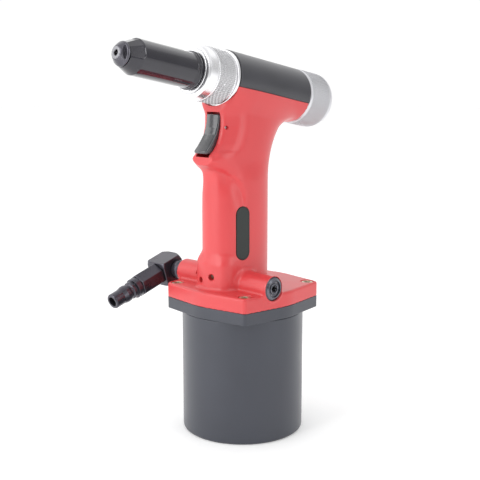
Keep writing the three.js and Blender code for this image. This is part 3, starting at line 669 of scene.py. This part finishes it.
def cover_seat():
    """What the sleeve takes from the top of the head."""
    reach_y = math.sqrt(CORE_R ** 2 - SPLIT ** 2)
    lean = math.degrees(math.asin(-SPLIT / CORE_R))
    outline = [(-30, SPLIT), (-reach_y, SPLIT)] + arc(0, 0, CORE_R, 180 + lean, -lean, 48)[1:-1]
    outline += [(reach_y, SPLIT), (30, SPLIT), (30, 30), (-30, 30)]
    levels = [(-HEAD_FRONT - 1, 0), (-HEAD_REAR + 1, 0)]
    return layered("cutter", outline[::-1], levels, lambda u, v, w: (w, u, v), BARREL)


def trigger_slot():
    half = float(reach("trigger")[1][1]) + 0.35
    outline = [(-60, 215.9), (-44.5, 215.9), (-38, 212.8), (-24.6, 212.8), (-24.6, 247.4), (-60, 247.4)]
    return layered("cutter", outline, [(-half, 0), (half, 0)], lambda u, v, w: (u, w, v))


def capsule(width, length, steps=16):
    r = width / 2
    run = (length - width) / 2
    return arc(0, run, r, 0, 180, steps) + arc(0, -run, r, 180, 360, steps)


plate_low, plate_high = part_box("name_plate")
PLATE = (
    Matrix.Translation((plate_low + plate_high) / 2)
    @ Matrix.Rotation(math.radians(-12.4), 4, "Z")
    @ Matrix.Rotation(math.radians(90), 4, "X")
    @ Matrix.Scale(MM, 4)
)
PLATE_SIZE = (11.5, 40.0)


def vent(turn, height, surface):
    """A vent's hole from the drum's middle outwards, with a countersink at the drum's surface."""
    middle = Matrix.Translation((DRUM_X * MM, VENT_Y * MM, height * MM))
    where = middle @ Matrix.Rotation(math.radians(turn), 4, "Z") @ Matrix.Scale(MM, 4)
    rim, outside = surface + 0.25, 30
    profile = [(0, 11.0), (2.35, 11.0), (2.35, surface - 0.6), (3.1, rim), (3.1, outside), (0, outside)]
    return lathe("cutter", "x", profile, where, 40, soft=0)


slit = layered("cutter", [(-30, 25), (-23.9, 25), (-23.9, 26.3), (-30, 26.3)], [(121.4, 0), (124.5, 0)])
plug_seat = [(0, -60), (9.4, -60), (9.4, -46.4), (9.1, -46.1), (9.1, -44), (0, -44)]
cutters = [
    cover_seat(),
    drum("x", BORE_R, -60, 30, BARREL),
    drum("x", HEAD_R - 0.1, HEAD_FRONT + 0.15, 70, BARREL, 128),
    trigger_slot(),
    drum("y", 1.4, -20, 20, WORLD, 32, (trigger_point.x / MM, trigger_point.z / MM)),
    drum("x", 4.8, 11.5, 40, WORLD, 48, (0, 224.0)),
    drum("z", 14.3, 100, 109.8, sides=72),
    drum("z", 8.8, 100, 127.3),
    drum("z", 6.0, 120, 256),
    drum("y", 5.8, -60, 60, VALVE),
    lathe("cutter", "y", plug_seat, VALVE, 96, soft=0),
    layered("cutter", capsule(PLATE_SIZE[0] + 0.7, PLATE_SIZE[1] + 0.7), [(-0.9, 0), (8, 0)], where=PLATE),
    slit,
    vent(18, 125.3, 21.1),
    vent(-13, 122.0, 20.7),
]
screw_hole = [(0, 100), (2.8, 100), (2.8, 109.5), (5.1, 109.5), (5.1, BASE_TOP - 0.5)]
screw_hole += [(5.7, BASE_TOP + 0.2), (5.7, 125), (0, 125)]
for screw_place in SCREW_PLACES:
    cutters.append(lathe("cutter", "z", screw_hole, WORLD, 48, soft=0, at=screw_place))
cut(handle, cutters)
dress(handle, red, "housing", ["handle_body"], sharp=40)

# ---------------------------------------------------------------- name plate and flange screws
plate = layered(
    "name_plate_face",
    capsule(*PLATE_SIZE, 20),
    [(-0.7, 0), (0.45, 0), (0.62, 0.06), (0.7, 0.22), (0.7, 0.6), (0.62, 0.75), (0.5, 0.8), (0.5, 2.0)],
    where=PLATE,
)
dress(plate, plate_gloss, "housing", ["name_plate"], sharp=50)

for number, (px, py) in enumerate(SCREW_PLACES, 1):
    node = f"flange_screw_{number}"
    top = reach(node)[1][2]
    profile = [(0, top - 18), (2.5, top - 18), (2.5, top - 5.2), (4.8, top - 5.2), (4.8, top - 0.6)]
    profile += [(4.2, top), (0, top)]
    screw = lathe(f"flange_screw_head_{number}", "z", profile, WORLD, 64, soft=0.25, at=(px, py))
    hexagonal = arc(px, py, 2.5 / math.cos(math.pi / 6), 0, 300, 5)
    levels = [(top - 2.6, 0), (top - 0.35, 0), (top + 0.05, -0.3), (top + 1, -0.3)]
    cut(screw, [layered("cutter", hexagonal, levels)])
    dress(screw, screw_steel, "housing", [node])


# ---------------------------------------------------------------- air cylinder
def cup():
    """One skin: bottom, wall, flange and bore, through rings that share their directions."""
    outline = np.array(flange_outline())
    way = outline / np.linalg.norm(outline, axis=1)[:, None]
    under = CUP_TOP - CUP_FLANGE
    rings = []

    def circle(r, z):
        rings.append([(*(p * r), z) for p in way])

    def edge(amount, z):
        rings.append([(u, v, z) for u, v in inset(outline, amount)])

    for r, z in softened([(0.5, 0), (CUP_R, 0), (CUP_R, under), (SIDE_R - 3.0, under)], 2.6, steps=6)[:-1]:
        circle(r, z)
    for amount, rise in ((1.2, 0), (0.35, 0.12), (0.1, 0.4), (0, 0.8)):
        edge(amount, under + rise)
    for amount, drop in ((0, 0.35), (0.05, 0.15), (0.2, 0.04), (0.45, 0)):
        edge(amount, CUP_TOP - drop)
    for r, z in softened([(46, CUP_TOP), (43.5, CUP_TOP), (43.5, 6), (0.5, 6)], 0.8):
        circle(r, z)
    count = len(outline)
    faces = [tuple(range(count))[::-1]]
    for level in range(len(rings) - 1):
        low = level * count
        faces += [(low + i, low + (i + 1) % count, low + count + (i + 1) % count, low + count + i)
                  for i in range(count)]
    top = (len(rings) - 1) * count
    faces.append(tuple(range(top, top + count)))
    return raw_object("air_cylinder_shell", [p for ring in rings for p in ring], faces)


shell = cup()
cut(shell, [drum("z", 2.8, 90, 110, sides=32, at=place) for place in SCREW_PLACES])
dress(shell, slate, "housing", ["air_cylinder"], sharp=40)


# ---------------------------------------------------------------- barrel sleeve, collar, rear cap
def sleeve():
    low, high = reach("barrel_cover", BARREL)
    bottom = float(low[2])
    inner, outer = CORE_R + 0.3, HEAD_R
    lean_out = math.degrees(math.asin(-bottom / outer))
    lean_in = math.degrees(math.asin(-bottom / inner))
    outline = arc(0, 0, outer, -lean_out, 180 + lean_out, 120)
    outline += arc(0, 0, inner, 180 + lean_in, -lean_in, 110)
    outline = softened(outline, 0.45, closed=True)
    a, b = float(low[0]), float(high[0])
    levels = [(a, 0.7), (a + 0.12, 0.3), (a + 0.45, 0.06), (a + 0.9, 0), (b - 0.9, 0), (b - 0.45, 0.06),
              (b - 0.12, 0.3), (b, 0.7)]
    return layered("barrel_sleeve", outline, levels, lambda u, v, w: (w, u, v), BARREL)


dress(sleeve(), sleeve_black, "housing", ["barrel_cover"])


def knurl(count, start, end, depth, pitch):
    """Crossed helical grooves, which fade out at both ends of a band."""

    def relief(angles, station):
        if not start < station < end:
            return 0.0
        u, v = angles * count / (2 * math.pi), (station - start) / pitch
        wave = lambda value: np.abs((value % 1.0) * 2 - 1)
        ridge = 1 - np.maximum(wave(u + v), wave(u - v))
        return depth * (ridge * 2 - 1) * min(1, (station - start) / pitch, (end - station) / pitch)

    return relief


def band(r, start, end, pitch):
    """Stations close enough together to carry a knurl."""
    steps = int(round((end - start) / pitch * 4))
    return [(r, start + (end - start) * i / steps) for i in range(steps + 1)]


def with_band(before, stations, after, soft):
    """A profile with rounded corners on both sides of a dense band."""
    first = softened(before + [stations[0]], soft)[:-1]
    last = softened([stations[-1]] + after, soft)[1:]
    return first + stations + last


def lock_collar():
    low, high = reach("lock_collar", BARREL)
    rear, tip = -float(high[0]), -float(low[0])
    stations = band(19.75, 27.2, 44.8, 1.5)
    before = [(13.6, tip - 4), (16.8, tip - 4), (16.8, rear), (20.7, rear), (20.7, 26.6), (19.35, 26.75)]
    before.append((19.35, 27.0))
    after = [(19.35, 45.0), (19.35, 45.4), (19.3, 45.5), (19.3, 52.4), (18.9, 52.9), (18.1, tip - 0.1)]
    after += [(16.6, tip), (16.3, tip - 0.2), (15.2, tip - 0.2), (14.9, tip), (13.6, tip)]
    profile = with_band(before, stations, after, 0.35)
    return lathe("knurled_collar", "x", profile, BARREL, 420, closed=True, soft=0,
                 relief=knurl(84, 27.2, 44.8, 0.5, 1.5))


dress(lock_collar(), bright, "collar", ["lock_collar"], sharp=60)


def collector():
    low, high = reach("rear_cap", BARREL)
    front, rear = -float(low[0]), -float(high[0])
    stations = band(21.4, rear + 6.0, front - 1.6, 1.35)
    before = [(0, rear + 3), (15, rear + 3), (18.2, rear + 7), (18.2, -66), (17.2, -65), (17.2, front)]
    before += [(20.6, front), (21.25, front - 0.7), (21.25, front - 1.4)]
    after = [(20.95, rear + 5.4), (20.7, rear + 4.6), (20.3, rear + 3.2), (19.2, rear + 1.3)]
    after += [(17.6, rear + 0.4), (15.6, rear), (14.4, rear), (14.0, rear + 0.5), (0, rear + 0.5)]
    profile = with_band(before, stations[::-1], after, 0.5)
    return lathe("mandrel_collector", "x", profile, BARREL, 500, soft=0,
                 relief=knurl(100, rear + 6.0, front - 1.6, 0.45, 1.35))


dress(collector(), knurl_alloy, "collector_cap", ["rear_cap"], sharp=60)


# ---------------------------------------------------------------- nose
def nose_housing():
    tip = -float(reach("nose_housing", BARREL)[0][0])
    step = 0.36
    block_low = np.array([-tip - 1.5, -17.0, -17.0])
    x, y, z = grid(block_low, (-42.5, 17.0, 17.0), step)
    r, s = np.hypot(y, z), -x
    outline = [(10.1, 44.3), (15.8, 44.3), (15.8, 49.7), (13.2, 49.7), (13.2, 55.4), (13.9, 55.6)]
    outline += [(13.9, 57.2), (13.2, 57.4), (13.2, 58.6), (12.75, 59.2), (12.6, 108.4), (12.2, 109.2)]
    outline += [(8.9, tip - 0.4), (8.4, tip - 0.1), (5.4, tip - 0.1), (5.4, 104), (10.1, 102.5)]
    field = polygon_distance(outline, r, s)
    facet_start, facet_slope = 107.2, 0.45
    for turn in (0, 36, 72):
        a = math.radians(turn)
        flat = (z * math.cos(a) - y * math.sin(a) - 11.8 + facet_slope * (s - facet_start)) * 0.912
        field = np.maximum(field, np.minimum(flat, s - facet_start))
    return from_field("nose_barrel", field, block_low, step, BARREL)


dress(nose_housing(), black_gloss, "housing", ["nose_housing"], sharp=38)


def nose_tip():
    tip = -float(reach("nose_tip", BARREL)[0][0])
    step = 0.22
    block_low = np.array([-tip - 1.0, -9.5, -9.5])
    x, y, z = grid(block_low, (-94.0, 9.5, 9.5), step)
    r, s = np.hypot(y, z), -x
    outline = [(3.0, 95), (3.1, 95), (3.1, 98.5), (5.1, 98.5), (5.1, 116.9), (8.2, 116.9), (8.6, 117.4)]
    outline += [(8.3, 118.3), (6.6, 120.3), (4.9, 122.0), (4.3, tip - 0.25), (3.0, tip - 0.25)]
    field = polygon_distance(outline, r, s)
    for turn in (80, 260):
        a = math.radians(turn)
        flat = z * math.cos(a) - y * math.sin(a) - 5.2
        field = np.maximum(field, np.minimum(flat, s - 118.9))
    return from_field("nosepiece", field, block_low, step, BARREL)


dress(nose_tip(), black_nose, "housing", ["nose_tip"], sharp=38)
mouth_at = -float(reach("nose_tip", BARREL)[0][0])
mouth_profile = [(1.95, 95), (3.05, 95), (3.05, mouth_at - 0.3), (4.2, mouth_at - 0.3), (4.1, mouth_at)]
mouth_profile += [(2.3, mouth_at), (1.95, mouth_at - 0.4)]
mouth = lathe("nosepiece_mouth", "x", mouth_profile, BARREL, 64, closed=True, soft=0.12)
dress(mouth, mouth_steel, "housing", ["nose_tip"])


# ---------------------------------------------------------------- trigger
def trigger():
    low, high = reach("trigger")
    step = 0.3
    half = float(high[1])
    block_low = low - 4 * step
    x, y, z = grid(block_low, high + 4 * step, step)
    outline = [(-29.0, 245.6), (-31.9, 245.1), (-32.4, 240.5), (-33.3, 236), (-35.3, 231), (-38.3, 227)]
    outline += [(-41.5, 223), (-45.0, 219.4), (-44.9, 218.4), (-43.4, 217.8), (-40.5, 218.1)]
    outline += [(-35.0, 219.7), (-33.6, 221.2), (-33.6, 227.9), (-28.6, 231.9), (-26.0, 236)]
    outline.append((-26.7, 244.8))
    shape = polygon_distance(outline, x + 0.09 * (y / half) ** 2 * -6, z) - 0.55
    pin = 1.45 - np.hypot(x - trigger_point.x / MM, z - trigger_point.z / MM)
    field = np.maximum(round_meet(shape, np.abs(y) - half, 1.0), pin)
    return from_field("trigger_lever", field, block_low, step)


dress(trigger(), trigger_plastic, "trigger_lever", ["trigger"])
low, high = reach("trigger_pin")
pin = lathe("trigger_pin_rod", "y", [(0, low[1]), (1.2, low[1]), (1.2, high[1]), (0, high[1])], WORLD, 40,
            at=(trigger_point.x / MM, trigger_point.z / MM))
dress(pin, steel, "housing", ["trigger_pin"])

# ---------------------------------------------------------------- valve plug
low, high = reach("valve_plug", VALVE)
face = float(low[1]) - 0.3
disc = [(0, face + 1.1), (2.6, face + 1.1), (8.0, face + 1.1), (8.9, face + 1.6), (8.9, face + 3.1)]
disc += [(5.5, face + 3.1), (5.5, high[1]), (0, high[1])]
valve_plug = lathe("valve_plug_head", "y", disc, VALVE, 96, soft=0.3)
lobes = [(2.45 + 0.45 * math.cos(6 * a), a) for a in np.arange(48) * math.pi / 24]
star = [(r * math.cos(a), r * math.sin(a)) for r, a in lobes]
socket_levels = [(face - 1, 0), (face + 5.4, 0)]
cut(valve_plug, [layered("cutter", star, socket_levels, lambda u, v, w: (u, w, -v), VALVE)])
rim = [(6.2, face + 1.4), (6.2, face + 0.2), (6.5, face - 0.1), (6.9, face - 0.1), (8.1, face + 0.9)]
rim.append((8.1, face + 1.4))
hub = [(3.1, face + 1.3), (3.1, face + 0.5), (3.4, face + 0.2), (3.7, face + 0.2), (4.1, face + 0.6)]
hub.append((4.1, face + 1.3))
# The rim and hub rings take the lighter steel: a painted highlight.
for name, profile in (("valve_plug_rim", rim), ("valve_plug_hub", hub)):
    raised = lathe(name, "y", profile, VALVE, 96, closed=True, soft=0.2)
    dress(raised, ring_highlight_steel, "housing", ["valve_plug"])
dress(valve_plug, black_side, "housing", ["valve_plug"])


# ---------------------------------------------------------------- swivelling inlet
def elbow_block():
    low, high = reach("elbow_body", ELBOW)
    half = float(high[1])
    front, back = float(low[0]), float(high[0])
    step = 0.3
    block_low = low - 4 * step
    x, y, z = grid(block_low, high + 4 * step, step)
    r = np.hypot(y, z)
    core = round_meet(np.abs(y) - half, np.abs(z) - half, 0.5)
    ends = round_meet(x - back, front - x, 0.5)
    rear_cone = (r + (x - back) * 1.35 - half - 0.7) * 0.6
    front_cone = (r - (x - front) * 1.6 - half - 1.6) * 0.53
    shape = round_meet(round_meet(core, ends, 0.5), np.maximum(rear_cone, front_cone), 0.35)
    bore = np.hypot(x, z) - 5.5
    recess = np.maximum(np.hypot(x, z) - 7.0, half - 2.6 - y)
    outlet = np.maximum(r - 5.2, x - (front + 7.8))
    shape = np.maximum(shape, -np.minimum(np.minimum(bore, outlet), recess))
    return from_field("elbow_block", shape, block_low, step, ELBOW)


dress(elbow_block(), black_side, "inlet_elbow", ["elbow_body"], sharp=45)


def hexagon():
    low, high = reach("hex_adapter", ELBOW)
    front, back = float(low[0]), float(high[0])
    step = 0.28
    block_low = low - 4 * step
    x, y, z = grid(block_low, high + 4 * step, step)
    r = np.hypot(y, z)
    wide, tall = float(high[1] - low[1]), float(high[2] - low[2])
    flats = min(wide, tall) / 2
    shape = np.full(np.broadcast_shapes(x.shape, y.shape, z.shape), -99.0, dtype=np.float32)
    for turn in (0, 60, 120) if wide < tall else (30, 90, 150):
        a = math.radians(turn)
        shape = round_meet(shape, np.abs(y * math.cos(a) + z * math.sin(a)) - flats, 0.3)
    body_back = front + 21.7
    past = r - flats - 0.35
    chamfer = np.maximum(past - (x - front) * 1.7, past + (x - body_back) * 1.7) * 0.5
    shape = round_meet(round_meet(shape, np.maximum(front - x, x - body_back), 0.3), chamfer, 0.25)
    neck = np.maximum(r - 4.9, x - back)
    shape = np.minimum(shape, np.maximum(neck, body_back - 1 - x))
    bore = np.where(x < -26, 4.9, 3.0) - r
    return from_field("hex_adapter_body", np.maximum(shape, bore), block_low, step, ELBOW)


dress(hexagon(), black_turned, "inlet_elbow", ["hex_adapter"], sharp=45)
low, high = reach("coupler_plug", ELBOW)
end = -float(low[0])
plug_profile = [
    (3, 26.5), (4.6, 26.5), (4.6, 35.3), (8, 35.3), (8, 39.6), (5.9, 40), (5.9, 41), (6.8, 41.4),
    (6.8, 43.3), (5.6, 44), (5.6, 45.2), (6.3, 46.2), (6.8, 47.0), (6.8, 49.6), (6.4, 51.4),
    (6, 53.2), (6, end - 0.9),
    (5.4, end), (4.1, end), (3.9, end - 0.3), (3.9, 45), (3, 44),
]
plug = lathe("coupler_plug_body", "x", plug_profile, ELBOW, 112, closed=True, soft=0.28)
dress(plug, black_turned, "inlet_elbow", ["coupler_plug"])

low, high = reach("swivel_stem", VALVE)
neck_face = float(swivel_point.y / MM - reach("elbow_body", ELBOW)[1][1])
stem_profile = [
    (2.4, low[1]), (5.5, low[1]), (5.5, 48.3), (8.4, 48.3), (8.4, 49.9), (7.2, 50.5), (6.9, 51.6),
    (7.5, 52.6), (7.5, neck_face - 1.2), (7, neck_face - 0.3), (5.2, neck_face - 0.3), (5.2, 60), (4.3, 60),
    (4.3, 62), (5.2, 62), (5.2, 72), (4.3, 72), (4.3, 74), (5.2, 74), (5.2, 75.2), (4.6, 75.2), (4.6, 76.2),
    (5.2, 76.2), (5.2, high[1]), (0, high[1]), (0, 70), (2.4, 70),
]
stem = lathe("swivel_stem_neck", "y", stem_profile, VALVE, 96, closed=True, soft=0.25)
dress(stem, black_side, "housing", ["swivel_stem"])

# ---------------------------------------------------------------- springs
pilot_low, pilot_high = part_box("pilot_valve_spring")
PILOT = frame_at((0, 0, (pilot_low.z + pilot_high.z) / 2))
for node, where, axis, wire, turns, joint, body in (
    ("valve_spring", VALVE, "y", 0.4, 6, "spool_shift", "housing"),
    ("pilot_valve_spring", PILOT, "x", 0.35, 5, "pilot_valve_shift", "housing"),
    ("return_spring", BARREL, "x", 1.0, 6, "pull_stroke", "housing"),
    ("jaw_spring", BARREL, "x", 0.6, 5, None, "puller"),
):
    low, high = reach(node, where)
    along = "xyz".index(axis)
    start, end = (-high[0], -low[0]) if axis == "x" else (low[1], high[1])
    wound = coil(f"{node}_coil", float(high[2]) - wire, wire, start, end, turns, where, axis)
    dress(wound, steel, body, [node])
    if joint:
        fixed = np.zeros(3)
        fixed[along] = high[0] if axis == "x" else low[1]
        way = where.to_3x3() @ Vector((along == 0, along == 1, 0))
        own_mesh(wound)

# ---------------------------------------------------------------- pieces carried over from the model
CARRIED = {
    rubber: ("cylinder_gasket", "air_piston_seal", "transfer_tube_seal", "piston_bumper", "ram_seal",
             "plug_o_ring", "front_gland_seal", "pull_piston_seal", "rear_cap_o_ring", "swivel_seal_1",
             "swivel_seal_2"),
    alloy_up: ("air_piston",),
    alloy_barrel: ("rear_gland",),
    steel_up: ("ram_rod", "piston_nut", "transfer_tube", "pilot_tube"),
    steel_barrel: ("head_cylinder", "pull_piston", "mandrel_tube", "jaw_case", "jaw_pusher"),
    steel: ("valve_spool", "pilot_valve_stem", "jaw_1", "jaw_2", "jaw_3", "swivel_clip"),
    brass: ("pilot_valve_body", "front_gland"),
    brass_up: ("ram_gland",),
    brass_side: ("valve_sleeve",),
    felt: ("exhaust_filter",),
}
for finish, carried_nodes in CARRIED.items():
    for node in carried_nodes:
        mesh = frame["nodes"][node].data
        mesh.materials.clear()
        mesh.materials.append(finish.material)

# ---------------------------------------------------------------- floor, light and camera
scene = bpy.context.scene
floor_mesh = bpy.data.meshes.new("floor")
floor_mesh.from_pydata([(-6, -6, 0), (6, -6, 0), (6, 6, 0), (-6, 6, 0)], [], [(0, 1, 2, 3)])
floor = bpy.data.objects.new("floor", floor_mesh)
scene.collection.objects.link(floor)
pale = Finish("floor_pale", (0.97, 0.97, 0.97), 0.7)
pale.mottled(4, 0.003, 0.02)
pale.shader.inputs["Emission Color"].default_value = (1, 1, 1, 1)
pale.shader.inputs["Emission Strength"].default_value = 0.15
floor_mesh.materials.append(pale.material)

world = bpy.data.worlds.new("studio")
world.use_nodes = True
sky = world.node_tree
background = sky.nodes["Background"]
way = sky.nodes.new("ShaderNodeTexCoord")
facing = sky.nodes.new("ShaderNodeVectorMath")
facing.operation = "DOT_PRODUCT"
facing.inputs[1].default_value = (0.716, 0.675, -0.178)
sky.links.new(way.outputs["Generated"], facing.inputs[0])
level = sky.nodes.new("ShaderNodeMapRange")
level.interpolation_type = "SMOOTHSTEP"
for key, number in (("From Min", -0.1), ("From Max", 0.8), ("To Min", 0.5), ("To Max", 1.03)):
    level.inputs[key].default_value = number
sky.links.new(facing.outputs["Value"], level.inputs["Value"])
sky.links.new(level.outputs["Result"], background.inputs["Strength"])
background.inputs["Color"].default_value = (1, 1, 1, 1)
scene.world = world
scene.view_settings.view_transform = "Standard"


def softbox(name, place, aim, size, power):
    lamp = bpy.data.lights.new(name, "AREA")
    lamp.shape = "RECTANGLE"
    lamp.size, lamp.size_y = size
    lamp.energy = power
    obj = bpy.data.objects.new(name, lamp)
    obj.location = place
    obj.rotation_euler = (Vector(aim) - Vector(place)).to_track_quat("-Z", "Y").to_euler()
    scene.collection.objects.link(obj)


softbox("left", (-1.404, 0.123, 0.683), (0, 0, 0.17), (0.5, 1.2), 7.5)
softbox("left_back", (-1.221, 0.705, 0.683), (0, 0, 0.17), (0.5, 1.2), 4.5)
softbox("back", (-0.705, 1.221, 0.683), (0, 0, 0.17), (0.5, 1.2), 2.7)
softbox("right", (0.18, -1.398, 0.683), (0, 0, 0.17), (0.5, 1.2), 4.6)
overhead = bpy.data.lights.new("overhead", "SUN")
overhead.energy = 0.8
overhead.angle = math.radians(110)
overhead_lamp = bpy.data.objects.new("overhead", overhead)
scene.collection.objects.link(overhead_lamp)

camera_data = bpy.data.cameras.new("camera")
camera_data.sensor_width = 36
camera_data.lens = 69.57
camera_data.shift_x = -0.00533
camera_data.clip_start = 0.01
camera = bpy.data.objects.new("camera", camera_data)
camera.location = (-0.5128, -0.4834, 0.2761)
camera.rotation_euler = (math.radians(90 - 10.28), 0, math.radians(-46.69))
scene.collection.objects.link(camera)
scene.camera = camera
